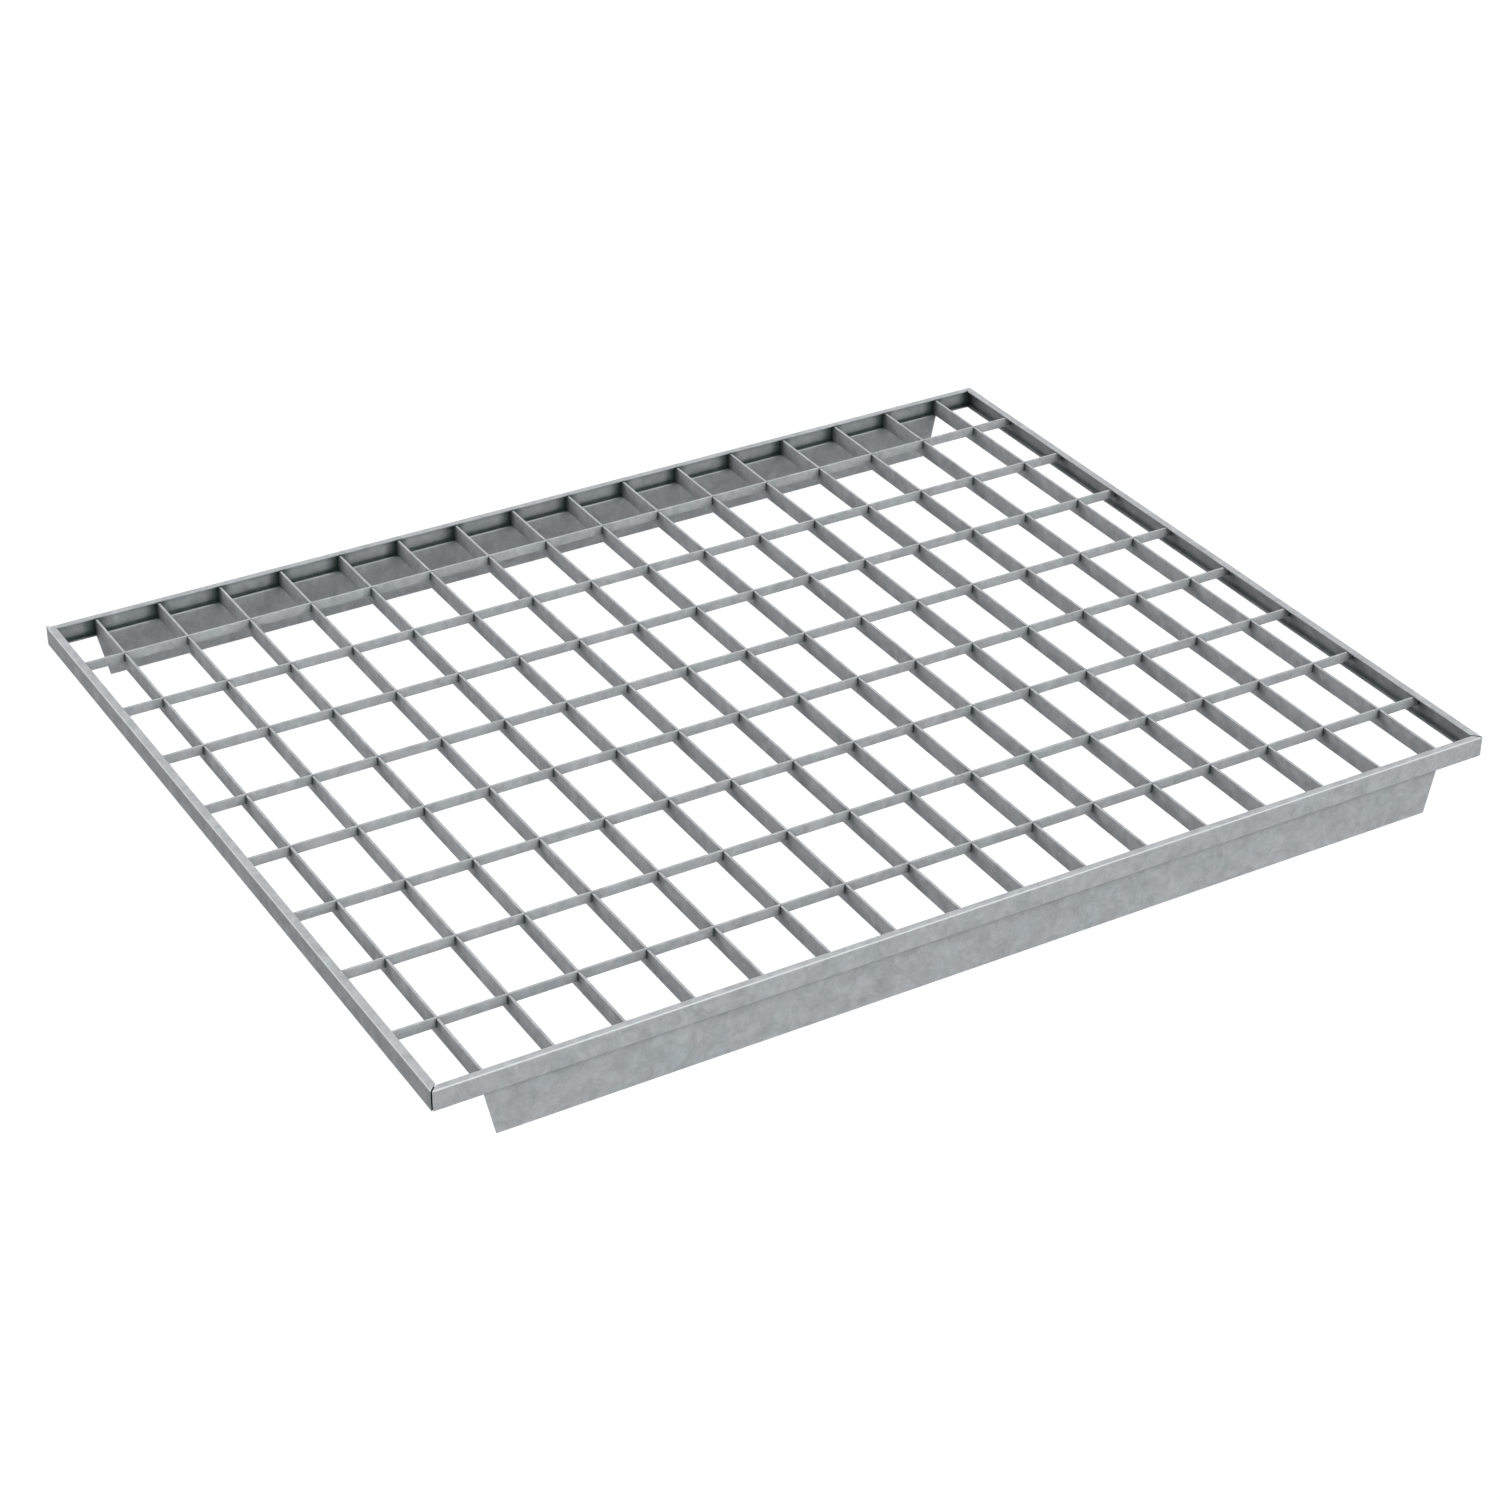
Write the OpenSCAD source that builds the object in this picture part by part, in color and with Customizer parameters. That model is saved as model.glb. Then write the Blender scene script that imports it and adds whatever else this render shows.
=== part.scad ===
// Galvanised steel grating panel for a pallet rack or shelf bay.
// Tall bearing bars run from the front edge to the rear edge. Shallow cross bars are let into
// their top edges and stand a little proud of them. A folded channel holds the bar ends on each
// side, and the front and rear channels carry a folded flap that drops between the rack's beams.
// X runs along the front edge and Y from front to rear. Z is up, with Z = 0 at the flaps' lower edges.

/* [Panel] */
// Overall width along the front edge, over the side channels
panel_w = 1089; // [400:1:1800]
// Overall depth from the front face to the rear face
panel_d = 867; // [400:1:1500]

/* [Mesh] */
// Spacing of the bearing bars, centre to centre
bearing_pitch = 66; // [30:1:120]
// Spacing of the cross bars, centre to centre
cross_pitch = 99; // [30:1:150]
// Distance from the rear face to the first cross bar's centre
rear_cell = 83; // [30:0.5:150]
// Smallest distance left between a channel's outer face and the nearest parallel bar's centre
min_edge_cell = 40; // [20:1:60]
// Thickness of a bearing bar
bearing_t = 2.25; // [1.5:0.05:4]
// Thickness of a cross bar
cross_t = 2; // [1.5:0.1:4]
// Height of a cross bar
cross_h = 9.75; // [6:0.25:13]
// Height of the cross bars' top edges above the bearing bars' top edges
cross_rise = 0.75; // [0:0.05:3]

/* [Edge channel] */
// Height of the channel over both lips
channel_h = 20.75; // [18:0.25:40]
// Thickness of the folded sheet
sheet_t = 1.25; // [1:0.05:1.6]
// Inside radius of every fold in the sheet
fold_r = 0.25; // [0.1:0.05:0.6]
// Width of the front and rear channels' top lip, from the outer face
end_lip = 6.75; // [5:0.25:16]
// Width of the side channels' top lip, from the outer face
side_lip = 8; // [5:0.25:16]
// Width of the bottom lip, from the channel's outer face
bottom_lip = 6.25; // [4.5:0.25:14]
// Open seam between the mitred channel ends at the two front corners
front_seam = 1.4; // [0:0.1:2]
// Clearance between a bar's end and the fold inside the channel
bar_clearance = 0.25; // [0.2:0.05:2]

/* [Flap] */
// Drop of the flap below the channel's underside
flap_drop = 47; // [15:1:80]
// Distance from the panel's side to the upper corner of the flap
flap_inset = 48.25; // [20:0.25:150]
// Run of each slanted flap end, from the upper corner in to the lower corner
flap_taper = 10.5; // [0:0.5:40]

/* [Hidden] */
$fn = 48;

// Levels
channel_base = flap_drop;
bar_base = channel_base + sheet_t;
cross_top = channel_base + channel_h - sheet_t;
bearing_h = cross_top - cross_rise - bar_base;

// Fold sizes
fold_outer = fold_r + sheet_t;

// Bars stop clear of the fold behind the channel's web
bar_inset = sheet_t + fold_r + bar_clearance;
bearing_len = panel_d - 2 * bar_inset;
cross_len = panel_w - 2 * bar_inset;

// As many bars as fit: bearing bars are centred, cross bars are counted from the rear
bearing_gaps = floor((panel_w - 2 * min_edge_cell) / bearing_pitch);
cross_gaps = floor((panel_d - rear_cell - min_edge_cell) / cross_pitch);
bearing_xs = [for (i = [0 : bearing_gaps]) (i - bearing_gaps / 2) * bearing_pitch];
cross_ys = [for (j = [0 : cross_gaps]) panel_d / 2 - rear_cell - j * cross_pitch];

// Depth of the mitre prisms, past the widest lip
mitre_depth = max(end_lip, side_lip, bottom_lip) + 1;

galvanised = [0.66, 0.68, 0.69];
galvanised_bars = [0.60, 0.62, 0.63];

// Bearing bars and cross bars, joined where they cross
module bar_grid() {
    color(galvanised_bars)
    union() {
        for (x = bearing_xs)
            translate([x - bearing_t / 2, -bearing_len / 2, bar_base])
                cube([bearing_t, bearing_len, bearing_h]);
        for (y = cross_ys)
            translate([-cross_len / 2, y - cross_t / 2, cross_top - cross_h])
                cube([cross_len, cross_t, cross_h]);
    }
}

// Quarter ring of folded sheet about its centre, in the quadrant given by the signs
module fold(u_sign, v_sign) {
    intersection() {
        difference() {
            circle(r = fold_outer);
            circle(r = fold_r);
        }
        scale([u_sign, v_sign])
            square(fold_outer);
    }
}

// Channel section: outer face of the web at u = 0, underside of the bottom lip at v = 0
module channel_section(top_reach, bottom_reach) {
    translate([0, fold_outer])
        square([sheet_t, channel_h - 2 * fold_outer]);
    translate([fold_outer, channel_h - fold_outer])
        fold(-1, 1);
    translate([fold_outer, channel_h - sheet_t])
        square([top_reach - fold_outer, sheet_t]);
    translate([fold_outer, fold_outer])
        fold(-1, -1);
    translate([fold_outer, 0])
        square([bottom_reach - fold_outer, sheet_t]);
}

// The same section with the bottom lip folded down into the flap
module flap_section() {
    fold_u = bottom_lip - fold_outer;
    fold_v = sheet_t - fold_outer;
    channel_section(end_lip, fold_u);
    translate([fold_u, fold_v])
        fold(1, 1);
    translate([bottom_lip - sheet_t, -flap_drop])
        square([sheet_t, flap_drop + fold_v]);
}

// Sweeps a section of the given width and centres it on the YZ plane, with u along +Y
module sweep(width) {
    translate([-width / 2, 0, channel_base])
        rotate([90, 0, 90])
            linear_extrude(height = width)
                children();
}

// Plan shape of one side of the frame, with each end cut along the mitre
module mitred_side(length, seam_at_start, seam_at_end) {
    start = seam_at_start * sqrt(2) / 2;
    end = seam_at_end * sqrt(2) / 2;
    translate([0, 0, channel_base - 1])
        linear_extrude(height = channel_h + 2)
            polygon([
                [-length / 2 + start, 0],
                [length / 2 - end, 0],
                [length / 2 - end - mitre_depth, mitre_depth],
                [-length / 2 + start + mitre_depth, mitre_depth]
            ]);
}

// Channel with two lips, its outer face on the XZ plane
module plain_channel(length, top_reach, seam_at_start, seam_at_end) {
    color(galvanised)
    intersection() {
        sweep(length) channel_section(top_reach, bottom_lip);
        mitred_side(length, seam_at_start, seam_at_end);
    }
}

// Elevation of the flap and the channel over it, between the two upper corners
module flap_outline() {
    half_top = panel_w / 2 - flap_inset;
    half_low = half_top - flap_taper;
    translate([0, bottom_lip + 1, 0])
        rotate([90, 0, 0])
            linear_extrude(height = bottom_lip + 2)
                polygon([
                    [-half_low, 0],
                    [half_low, 0],
                    [half_top, channel_base],
                    [half_top, channel_base + sheet_t],
                    [-half_top, channel_base + sheet_t],
                    [-half_top, channel_base]
                ]);
}

// Channel whose bottom lip is folded down into a flap with slanted ends
module flap_channel(seam) {
    half_flap = panel_w / 2 - flap_inset;
    color(galvanised)
    union() {
        difference() {
            plain_channel(panel_w, end_lip, seam, seam);
            translate([-half_flap, bottom_lip - fold_outer, channel_base - 1])
                cube([2 * half_flap, fold_outer + 1, sheet_t + 2]);
        }
        intersection() {
            sweep(2 * half_flap) flap_section();
            flap_outline();
        }
    }
}

module front_channel() {
    translate([0, -panel_d / 2, 0])
        flap_channel(front_seam);
}

module rear_channel() {
    translate([0, panel_d / 2, 0])
        rotate([0, 0, 180])
            flap_channel(0);
}

module left_channel() {
    translate([-panel_w / 2, 0, 0])
        rotate([0, 0, -90])
            plain_channel(panel_d, side_lip, 0, front_seam);
}

module right_channel() {
    translate([panel_w / 2, 0, 0])
        rotate([0, 0, 90])
            plain_channel(panel_d, side_lip, front_seam, 0);
}

bar_grid();
front_channel();
rear_channel();
left_channel();
right_channel();
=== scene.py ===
import math

import bpy
import numpy as np
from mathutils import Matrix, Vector


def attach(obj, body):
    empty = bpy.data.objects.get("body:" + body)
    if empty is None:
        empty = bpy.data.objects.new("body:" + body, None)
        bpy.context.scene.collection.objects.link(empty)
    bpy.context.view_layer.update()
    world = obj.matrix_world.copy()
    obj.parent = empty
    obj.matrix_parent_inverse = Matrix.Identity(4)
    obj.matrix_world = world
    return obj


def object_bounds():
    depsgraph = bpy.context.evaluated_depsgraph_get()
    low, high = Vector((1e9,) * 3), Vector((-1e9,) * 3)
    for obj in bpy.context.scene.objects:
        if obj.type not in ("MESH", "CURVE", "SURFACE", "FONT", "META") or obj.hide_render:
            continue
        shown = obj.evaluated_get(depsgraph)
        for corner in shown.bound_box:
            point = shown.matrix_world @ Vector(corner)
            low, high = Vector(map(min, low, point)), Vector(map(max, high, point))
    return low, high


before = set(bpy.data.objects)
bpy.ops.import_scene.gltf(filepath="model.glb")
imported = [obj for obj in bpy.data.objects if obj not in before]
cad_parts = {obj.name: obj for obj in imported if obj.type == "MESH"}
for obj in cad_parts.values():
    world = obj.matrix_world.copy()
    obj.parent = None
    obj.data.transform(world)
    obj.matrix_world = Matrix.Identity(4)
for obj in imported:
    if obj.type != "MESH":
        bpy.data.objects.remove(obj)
cad_box = [list(corner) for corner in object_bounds()]
low, high = (Vector(corner) for corner in cad_box)
MM = 0.001
scene = bpy.context.scene
scene.view_settings.view_transform = "Standard"


# ---- Camera ----
# A long lens looks down on the panel from its front left corner, 30 degrees round and
# 32 degrees up. The small shift sets the panel in the middle of the square frame.
AIM = Vector((-0.0854, -0.0996, 0.050))
AZIMUTH = math.radians(29.952)
ELEVATION = math.radians(31.971)
DISTANCE = 3.1789

toward_camera = Vector((
    -math.sin(AZIMUTH) * math.cos(ELEVATION),
    -math.cos(AZIMUTH) * math.cos(ELEVATION),
    math.sin(ELEVATION),
))
camera_data = bpy.data.cameras.new("camera")
camera_data.sensor_width = 36
camera_data.lens = 82.02
camera_data.shift_x = 0.01989
camera_data.shift_y = 0.0116
camera_data.clip_end = 50
camera = bpy.data.objects.new("camera", camera_data)
camera.location = AIM + DISTANCE * toward_camera
camera.rotation_euler = (math.pi / 2 - ELEVATION, 0, -AZIMUTH)
scene.collection.objects.link(camera)
scene.camera = camera


def add_node(tree, kind, inputs=None, **settings):
    """Adds a shader node, sets its properties, and fills or links its inputs."""
    node = tree.nodes.new(kind)
    for name, value in settings.items():
        setattr(node, name, value)
    for name, value in (inputs or {}).items():
        socket = node.inputs[name]
        if isinstance(value, bpy.types.NodeSocket):
            tree.links.new(value, socket)
        else:
            socket.default_value = value
    return node


def linear(hex_colour):
    """Turns an sRGB hex colour such as "9aa0a2" into linear RGBA."""
    channels = [int(hex_colour[i:i + 2], 16) / 255 for i in (0, 2, 4)]
    return [c / 12.92 if c <= 0.04045 else ((c + 0.055) / 1.055) ** 2.4 for c in channels] + [1]


# ---- Hot-dip galvanised steel ----
# Zinc that has dulled to a matt grey, with soft clouds, fine wisps and a faint pink and green
# cast. Its inner corners and hollows carry a painted shade, nearly black where they are
# closest, and its edges and upper folds a painted highlight.
CLOUD, WISP, CAST, GRAIN = 17, 5, 21, 1.6  # sizes of the zinc's patterns, mm
CAST_SEED = 7.3
EDGE_WIDTH = 0.4  # mm
CORNER_REACH, HOLLOW_REACH = 4, 14  # how far the painted shade of an inner corner and of a hollow reaches, mm
FLAP_UNSHADED, FLAP_FULL = 37, 45  # heights between which the hollows' painted shade fades in, mm


def galvanised(name, dark, light, edge_highlight, fold_highlight, corner_shade, hollow_from, hollow_shade,
               crossing_shade=1.0, left_shade=1.0):
    """Galvanised zinc between two tones, with painted highlight tones for its edges and upper
    folds.

    Each shade is a painted shade, the share of its tone that the zinc keeps: in an inner
    corner, in a hollow (full where less than hollow_from of the surround is open), on a left
    face beside a crossing, and on an open left face."""
    material = bpy.data.materials.new(name)
    material.use_nodes = True
    tree = material.node_tree
    tree.nodes.clear()
    place = add_node(tree, "ShaderNodeTexCoord").outputs["Object"]
    place_mm = add_node(tree, "ShaderNodeVectorMath", {0: place, "Scale": 1 / MM},
                        operation="SCALE").outputs[0]

    # Clouds of lighter and darker zinc, with finer wisps in them
    cloud = add_node(tree, "ShaderNodeTexNoise", {
        "Vector": place_mm, "Scale": 1 / CLOUD, "Detail": 3, "Roughness": 0.6,
        "Distortion": 0.8}).outputs["Fac"]
    wisp = add_node(tree, "ShaderNodeTexNoise", {
        "Vector": place_mm, "Scale": 1 / WISP, "Detail": 2, "Roughness": 0.6,
        "Distortion": 1.2}).outputs["Fac"]
    shade = add_node(tree, "ShaderNodeMix", {0: 0.35, 2: cloud, 3: wisp}).outputs[0]
    shade = add_node(tree, "ShaderNodeMapRange", {
        "Value": shade, "From Min": 0.25, "From Max": 0.75}).outputs[0]
    zinc = add_node(tree, "ShaderNodeMix", {
        0: shade, 6: linear(dark), 7: linear(light)}, data_type="RGBA").outputs[2]

    # Pink and green cast, in patches of their own
    cast = add_node(tree, "ShaderNodeTexNoise", {
        "Vector": place_mm, "Scale": 1 / CAST, "Detail": 2, "Roughness": 0.5,
        "Distortion": 0.4}, noise_dimensions="4D")
    cast.inputs["W"].default_value = CAST_SEED
    cast_level = add_node(tree, "ShaderNodeMapRange", {
        "Value": cast.outputs["Fac"], "From Min": 0.3, "From Max": 0.7}).outputs[0]
    cast_tint = add_node(tree, "ShaderNodeMix", {
        0: cast_level, 6: (0.975, 1.005, 1.005, 1), 7: (1.025, 0.993, 1.0, 1)},
        data_type="RGBA").outputs[2]
    zinc = add_node(tree, "ShaderNodeMix", {
        0: 1.0, 6: zinc, 7: cast_tint}, data_type="RGBA", blend_type="MULTIPLY").outputs[2]

    # Painted highlight on the edges, lighter where they would catch light
    rounded = add_node(tree, "ShaderNodeBevel", {"Radius": EDGE_WIDTH * MM},
                       samples=6).outputs[0]
    flat = add_node(tree, "ShaderNodeNewGeometry").outputs["Normal"]
    agree = add_node(tree, "ShaderNodeVectorMath", {0: rounded, 1: flat},
                     operation="DOT_PRODUCT").outputs["Value"]
    on_edge_highlight = add_node(tree, "ShaderNodeMapRange", {
        "Value": agree, "From Min": 0.995, "From Max": 0.85}).outputs[0]
    zinc = add_node(tree, "ShaderNodeMix", {
        0: on_edge_highlight, 6: zinc, 7: linear(edge_highlight)}, data_type="RGBA").outputs[2]

    # Painted highlight along the upper folds of the sheet
    facing = add_node(tree, "ShaderNodeSeparateXYZ", {0: flat}).outputs
    rising = add_node(tree, "ShaderNodeMapRange", {
        "Value": facing["Z"], "From Min": 0.25, "From Max": 0.55}).outputs[0]
    on_fold_highlight = add_node(tree, "ShaderNodeMapRange", {
        "Value": facing["Z"], "From Min": 0.97, "From Max": 0.85, "To Max": rising}).outputs[0]
    zinc = add_node(tree, "ShaderNodeMix", {
        0: on_fold_highlight, 6: zinc, 7: linear(fold_highlight)}, data_type="RGBA").outputs[2]

    # Painted shade in inner corners and hollows, nearly black where they are closest
    close = add_node(tree, "ShaderNodeAmbientOcclusion", {"Distance": CORNER_REACH * MM},
                     samples=8).outputs["AO"]
    corner = add_node(tree, "ShaderNodeMapRange", {
        "Value": close, "From Min": 0.5, "From Max": 0.86,
        "To Min": corner_shade, "To Max": 1.0}, interpolation_type="SMOOTHSTEP").outputs[0]
    wide = add_node(tree, "ShaderNodeAmbientOcclusion", {"Distance": HOLLOW_REACH * MM},
                    samples=6).outputs["AO"]
    hollow_painted_shade = add_node(tree, "ShaderNodeMapRange", {
        "Value": wide, "From Min": hollow_from, "From Max": 0.9,
        "To Min": hollow_shade, "To Max": 1.0}).outputs[0]
    painted_shade = add_node(tree, "ShaderNodeMath", {0: corner, 1: hollow_painted_shade},
                      operation="MULTIPLY").outputs[0]

    # Painted shade on left faces, deepest beside the crossings and milder on open left faces
    painted_left_shade = add_node(tree, "ShaderNodeMapRange", {
        "Value": wide, "From Min": 0.6, "From Max": 0.95,
        "To Min": crossing_shade, "To Max": left_shade}).outputs[0]
    on_left = add_node(tree, "ShaderNodeMapRange", {
        "Value": facing["X"], "From Min": -0.6, "From Max": -0.9,
        "To Min": 1.0, "To Max": painted_left_shade}).outputs[0]
    painted_shade = add_node(tree, "ShaderNodeMath", {0: painted_shade, 1: on_left},
                      operation="MULTIPLY").outputs[0]

    # Painted shade fades out down the flaps, which have no inner corners, so the floor adds none
    height = add_node(tree, "ShaderNodeSeparateXYZ", {0: place_mm}).outputs["Z"]
    above_flap = add_node(tree, "ShaderNodeMapRange", {
        "Value": height, "From Min": FLAP_UNSHADED, "From Max": FLAP_FULL}).outputs[0]
    painted_shade = add_node(tree, "ShaderNodeMix", {0: above_flap, 2: 1.0, 3: painted_shade}).outputs[0]
    # The painted shade deepens towards a dark green-grey
    painted_shade_tint = add_node(tree, "ShaderNodeMix", {
        0: painted_shade, 6: (0.01, 0.06, 0.05, 1), 7: (1, 1, 1, 1)}, data_type="RGBA").outputs[2]
    zinc = add_node(tree, "ShaderNodeMix", {
        0: 1.0, 6: zinc, 7: painted_shade_tint}, data_type="RGBA", blend_type="MULTIPLY").outputs[2]

    # Matt skin, a little smoother where the zinc is lighter
    roughness = add_node(tree, "ShaderNodeMapRange", {
        "Value": cloud, "From Min": 0.3, "From Max": 0.7,
        "To Min": 0.6, "To Max": 0.45}).outputs[0]

    # Uneven zinc: wide ripples and a fine grain
    grain = add_node(tree, "ShaderNodeTexNoise", {
        "Vector": place_mm, "Scale": 1 / GRAIN, "Detail": 2}).outputs["Fac"]
    ripple = add_node(tree, "ShaderNodeBump", {
        "Height": cloud, "Normal": rounded, "Strength": 0.5, "Distance": 0.3 * MM}).outputs[0]
    relief = add_node(tree, "ShaderNodeBump", {
        "Height": grain, "Normal": ripple, "Strength": 0.3, "Distance": 0.05 * MM}).outputs[0]

    # The dull oxide skin hides nearly all of the metal's shine
    shader = add_node(tree, "ShaderNodeBsdfPrincipled", {
        "Base Color": zinc, "Metallic": 0.1, "Specular IOR Level": 0.1,
        "Roughness": roughness, "Normal": relief})
    add_node(tree, "ShaderNodeOutputMaterial", {"Surface": shader.outputs["BSDF"]})
    return material


# Each part keeps its own strength of painted shade in its corners and hollows
sheet_tones = dict(dark="a2a6a9", light="cfd3d7", edge_highlight="d4d8da", fold_highlight="dee2e4", corner_shade=0.6)
end_zinc = galvanised("galvanised_end_channels", **sheet_tones,
                      hollow_from=0.7, hollow_shade=0.15)
# The left channel also keeps a painted shade on its open left face
left_zinc = galvanised("galvanised_left_channel", **sheet_tones,
                       hollow_from=0.66, hollow_shade=0.22,
                       crossing_shade=0.8, left_shade=0.8)
right_zinc = galvanised("galvanised_right_channel", **sheet_tones,
                        hollow_from=0.6, hollow_shade=0.3)
bar_zinc = galvanised("galvanised_bars", dark="a3a7aa", light="d2d6d9", edge_highlight="dadee0",
                      fold_highlight="dadee0", corner_shade=0.3, hollow_from=0.2, hollow_shade=0.45,
                      crossing_shade=0.4)
# Dark zinc for the seam beads, a painted shade behind the open seams
seam_shade_fill = galvanised("seam_painted_shade", dark="4c5052", light="606467", edge_highlight="606467",
                       fold_highlight="606467", corner_shade=0.3, hollow_from=0.66, hollow_shade=0.22)
finish = {"bar_grid": bar_zinc, "front_channel": end_zinc, "rear_channel": end_zinc,
          "left_channel": left_zinc, "right_channel": right_zinc}
for name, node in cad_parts.items():
    for slot in node.material_slots:
        slot.material = finish[name]


# ---- Zinc drop on the rear left corner ----
# As the panel was drawn out of the zinc bath, the last of the zinc ran to this corner's
# mitre and set as a small drop, whose outer end stands a millimetre above the lips.
DROP_ROUND, DROP_RISE = 24, 12  # faces round the drop and up it


def zinc_drop(name, corner, inset, radii, lean):
    """Ellipsoid with its long axis along the mitre: the unit sphere's points
    (cos v cos u, cos v sin u, sin v) times the radii, each raised by lean times its
    distance along the axis, and turned to point out at the corner. All in mm."""
    u = np.arange(DROP_ROUND) * (2 * np.pi / DROP_ROUND)
    v = np.linspace(-np.pi / 2, np.pi / 2, DROP_RISE + 1)[1:-1, None]
    along = radii[0] * np.append((np.cos(v) * np.cos(u)).ravel(), (0, 0))
    across = radii[1] * np.append((np.cos(v) * np.sin(u)).ravel(), (0, 0))
    up = radii[2] * np.append((np.sin(v) + 0 * u).ravel(), (-1, 1)) + lean * along
    out = along - inset
    points = np.stack((corner[0] - (out + across) / math.sqrt(2),
                       corner[1] + (out - across) / math.sqrt(2),
                       corner[2] + up), axis=1) * MM
    rows = DROP_RISE - 1
    ring = np.arange(rows * DROP_ROUND).reshape(rows, DROP_ROUND)
    after = np.roll(ring, -1, axis=1)
    quads = np.stack((ring[:-1], after[:-1], after[1:], ring[1:]), axis=-1).reshape(-1, 4)
    foot, tip = rows * DROP_ROUND, rows * DROP_ROUND + 1
    caps = [(foot, b, a) for a, b in zip(ring[0].tolist(), after[0].tolist())]
    caps += [(tip, a, b) for a, b in zip(ring[-1].tolist(), after[-1].tolist())]
    mesh = bpy.data.meshes.new(name)
    mesh.from_pydata(points.tolist(), [], quads.tolist() + caps)
    mesh.polygons.foreach_set("use_smooth", [True] * len(mesh.polygons))
    piece = bpy.data.objects.new(name, mesh)
    scene.collection.objects.link(piece)
    return piece


DROP_SINK = 0.35  # depth of the drop's middle below the lips' top, mm
rear_left = (low.x / MM, high.y / MM, high.z / MM - DROP_SINK)
drop = zinc_drop("rear_left_zinc_drop", rear_left, inset=3.2, radii=(3.9, 2.0, 1.0), lean=0.25)
drop.data.materials.append(left_zinc)
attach(drop, "root")


# ---- Painted shade in the open corner seams ----
# Behind each open seam at the two front corners a dark bead closes the corner from the inside
# as painted shade. The bead runs up inside the fold and then in along the mitre, under the lips.
BEAD_ROUND = 16  # faces round the bead
BEAD_REACH = (3.25, 3.25, 8.8)  # distances in from the corner: foot, bend and inner end, mm
BEAD_LEVELS = (48.5, 65.45, 65.45)  # heights of the same points, mm


def seam_bead(name, corner, along, radius, reach, levels):
    """Round bead swept up the corner and in along the mitre. Ring i has its centre at
    corner + reach[i] * along and height levels[i], and its points at radius times
    (side * cos t + lean * sin t) from it, where lean is along at the foot, down at the
    inner end, and their sum at the bend, which cuts the bend at 45 degrees. All in mm."""
    t = np.arange(BEAD_ROUND) * (2 * np.pi / BEAD_ROUND)
    ahead = np.array((along[0], along[1], 0.0))
    side = np.array((-along[1], along[0], 0.0))
    down = np.array((0.0, 0.0, -1.0))
    rings = []
    for out, level, lean in zip(reach, levels, (ahead, ahead + down, down)):
        centre = np.array((corner[0], corner[1], level)) + out * ahead
        rings.append(centre + radius * (np.outer(np.cos(t), side) + np.outer(np.sin(t), lean)))
    points = np.concatenate(rings) * MM
    ring = np.arange(3 * BEAD_ROUND).reshape(3, BEAD_ROUND)
    after = np.roll(ring, -1, axis=1)
    quads = np.stack((ring[:-1], ring[1:], after[1:], after[:-1]), axis=-1).reshape(-1, 4)
    faces = quads.tolist() + [ring[0].tolist(), ring[-1][::-1].tolist()]
    mesh = bpy.data.meshes.new(name)
    mesh.from_pydata(points.tolist(), [], faces)
    piece = bpy.data.objects.new(name, mesh)
    scene.collection.objects.link(piece)
    return piece


for name, x, turn in (("front_left_seam_bead", low.x, 1), ("front_right_seam_bead", high.x, -1)):
    bead = seam_bead(name, (x / MM, low.y / MM), (turn / math.sqrt(2), 1 / math.sqrt(2)),
                     radius=1.3, reach=BEAD_REACH, levels=BEAD_LEVELS)
    bead.data.materials.append(seam_shade_fill)
    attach(bead, "root")


# ---- Floor and light ----
# A pale matt floor, a soft key lamp low at the front, two soft lamps at the back left and a
# large soft lamp overhead. Seen directly or reflected, the floor and the surround are white,
# with the panel's faint shadow. From below the floor is clear and shows the underside.
FLOOR_REACH = 12.0  # m
SKY = 0.1  # strength of the surround's light
GLOW = 0.93  # how white the floor looks before the lamps light it
FLOOR_TONE, SHADOW_TONE = 0.1, 0.18  # the floor as light meets it, and as its shadows show

floor_mesh = bpy.data.meshes.new("floor")
floor_mesh.from_pydata([(x, y, low.z) for x, y in (
    (-FLOOR_REACH, -FLOOR_REACH), (FLOOR_REACH, -FLOOR_REACH),
    (FLOOR_REACH, FLOOR_REACH), (-FLOOR_REACH, FLOOR_REACH))], [], [(0, 1, 2, 3)])
floor = bpy.data.objects.new("floor", floor_mesh)
scene.collection.objects.link(floor)


def seen_ray(tree):
    """Gives 1 for camera, glossy and transmission rays, and 0 for the rest."""
    path = add_node(tree, "ShaderNodeLightPath").outputs
    direct = add_node(tree, "ShaderNodeMath", {
        0: path["Is Camera Ray"], 1: path["Is Glossy Ray"]}, operation="MAXIMUM").outputs[0]
    return add_node(tree, "ShaderNodeMath", {
        0: direct, 1: path["Is Transmission Ray"]}, operation="MAXIMUM").outputs[0]


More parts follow.
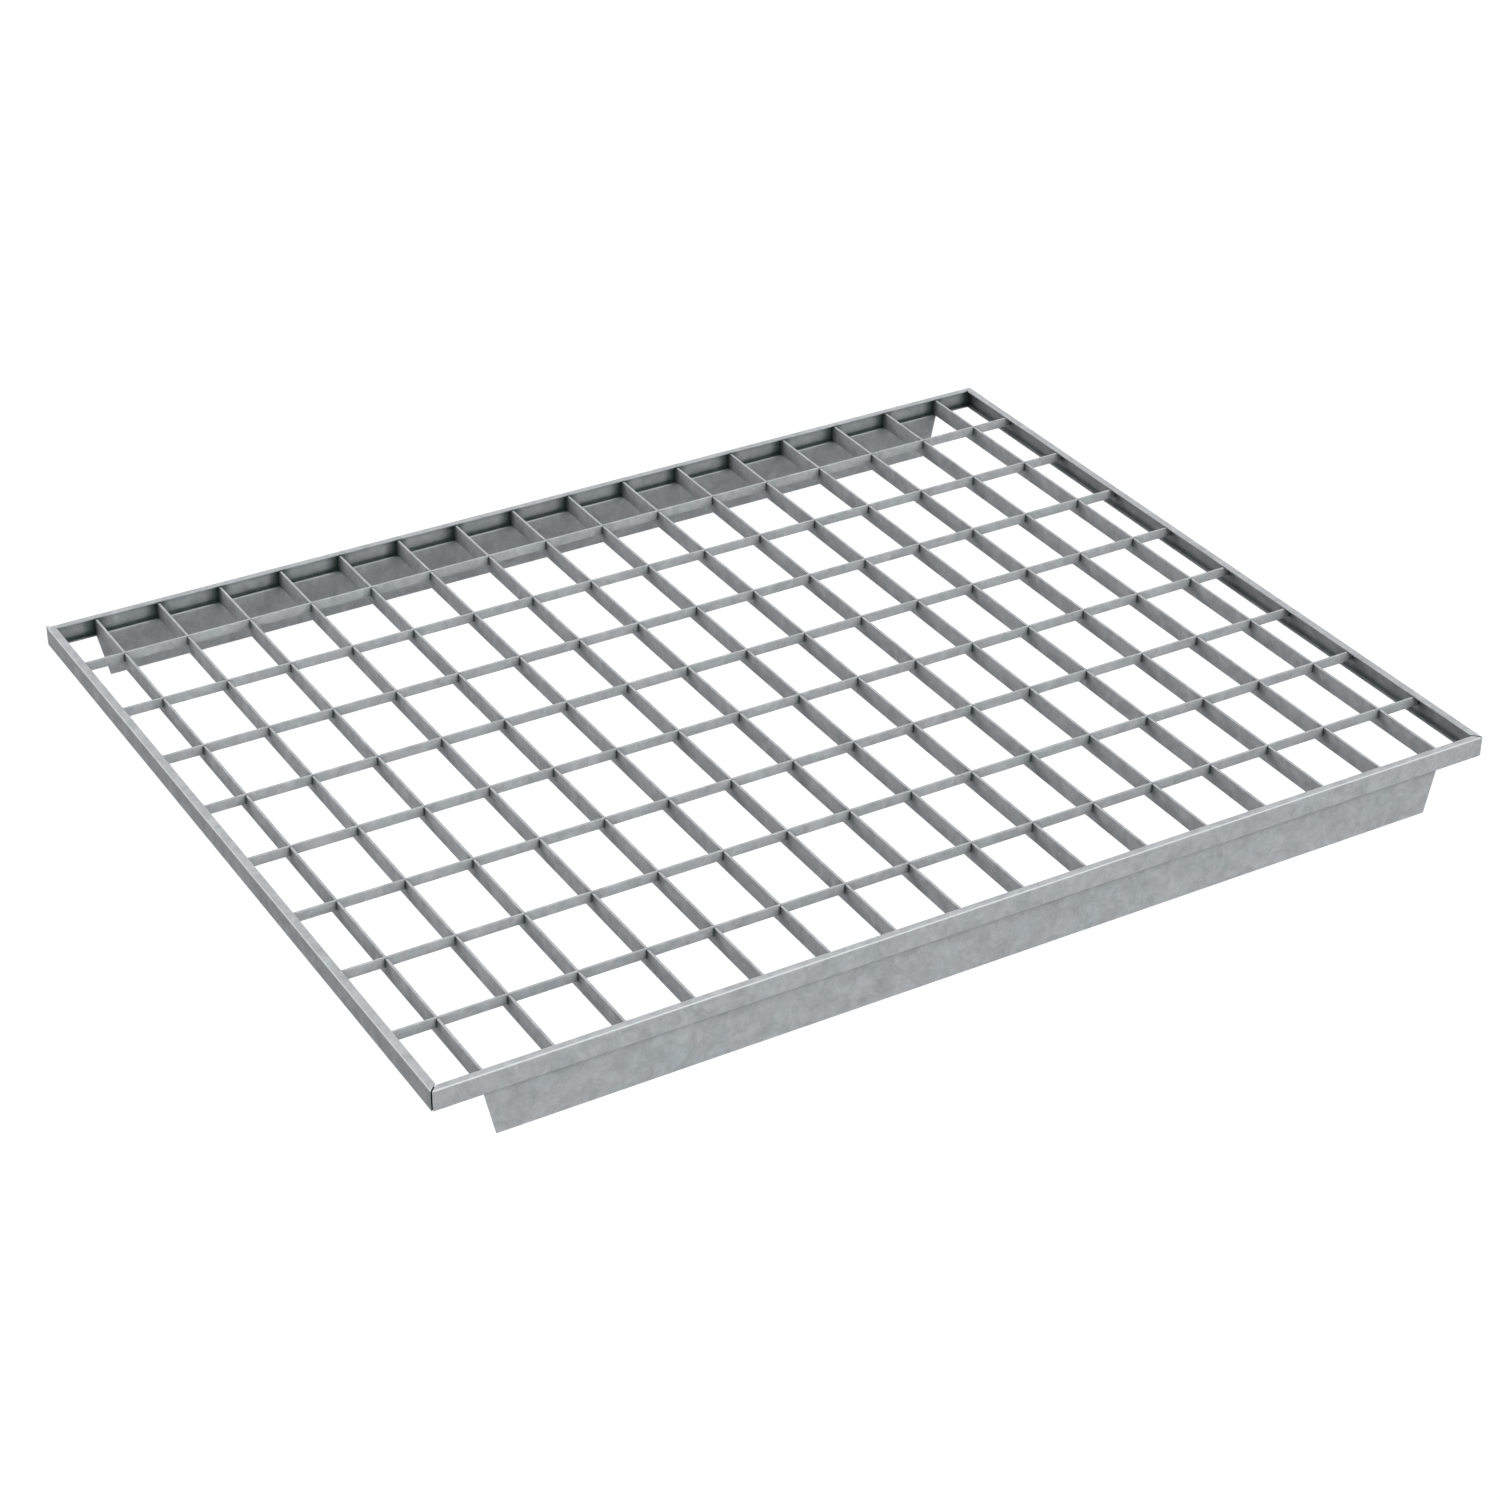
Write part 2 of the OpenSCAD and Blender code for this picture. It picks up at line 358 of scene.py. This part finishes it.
floor_paint = bpy.data.materials.new("floor_paint")
floor_paint.use_nodes = True
tree = floor_paint.node_tree
tree.nodes.clear()
paint = add_node(tree, "ShaderNodeBsdfDiffuse", {"Color": [FLOOR_TONE] * 3 + [1]})
glow = add_node(tree, "ShaderNodeEmission", {"Color": (1, 1, 1, 1), "Strength": GLOW})
dim = add_node(tree, "ShaderNodeBsdfDiffuse", {"Color": [SHADOW_TONE] * 3 + [1]})
seen = add_node(tree, "ShaderNodeAddShader", {0: glow.outputs[0], 1: dim.outputs[0]})
mix = add_node(tree, "ShaderNodeMixShader", {
    0: seen_ray(tree), 1: paint.outputs[0], 2: seen.outputs[0]})
below = add_node(tree, "ShaderNodeNewGeometry").outputs["Backfacing"]
clear = add_node(tree, "ShaderNodeBsdfTransparent")
sided = add_node(tree, "ShaderNodeMixShader", {
    0: below, 1: mix.outputs[0], 2: clear.outputs[0]})
add_node(tree, "ShaderNodeOutputMaterial", {"Surface": sided.outputs[0]})
floor_mesh.materials.append(floor_paint)

world = bpy.data.worlds.new("studio")
scene.world = world
world.use_nodes = True
tree = world.node_tree
tree.nodes.clear()
sky = add_node(tree, "ShaderNodeBackground", {"Color": (1, 1, 1, 1), "Strength": SKY})
backdrop = add_node(tree, "ShaderNodeBackground", {"Color": (1, 1, 1, 1), "Strength": 1.0})
mix = add_node(tree, "ShaderNodeMixShader", {
    0: seen_ray(tree), 1: sky.outputs[0], 2: backdrop.outputs[0]})
add_node(tree, "ShaderNodeOutputWorld", {"Surface": mix.outputs[0]})

# Strength, colour, spread in degrees, and the direction towards each lamp
for name, energy, tint, spread, toward_lamp in (
    ("key", 2.4, (0.985, 1.0, 1.0), 44, (0.10, -0.96, 0.15)),
    ("back_low", 0.66, (1.0, 0.955, 0.975), 30, (-0.75, 0.63, 0.20)),
    ("back_high", 0.45, (1.0, 0.955, 0.975), 36, (-0.58, 0.60, 0.57)),
    ("overhead", 1.68, (1.0, 0.99, 0.98), 60, (0.0, 0.1, 1.0)),
):
    lamp_data = bpy.data.lights.new(name, "SUN")
    lamp_data.energy = energy
    lamp_data.color = tint
    lamp_data.angle = math.radians(spread)
    lamp = bpy.data.objects.new(name, lamp_data)
    lamp.rotation_euler = Vector(toward_lamp).to_track_quat("Z", "Y").to_euler()
    scene.collection.objects.link(lamp)
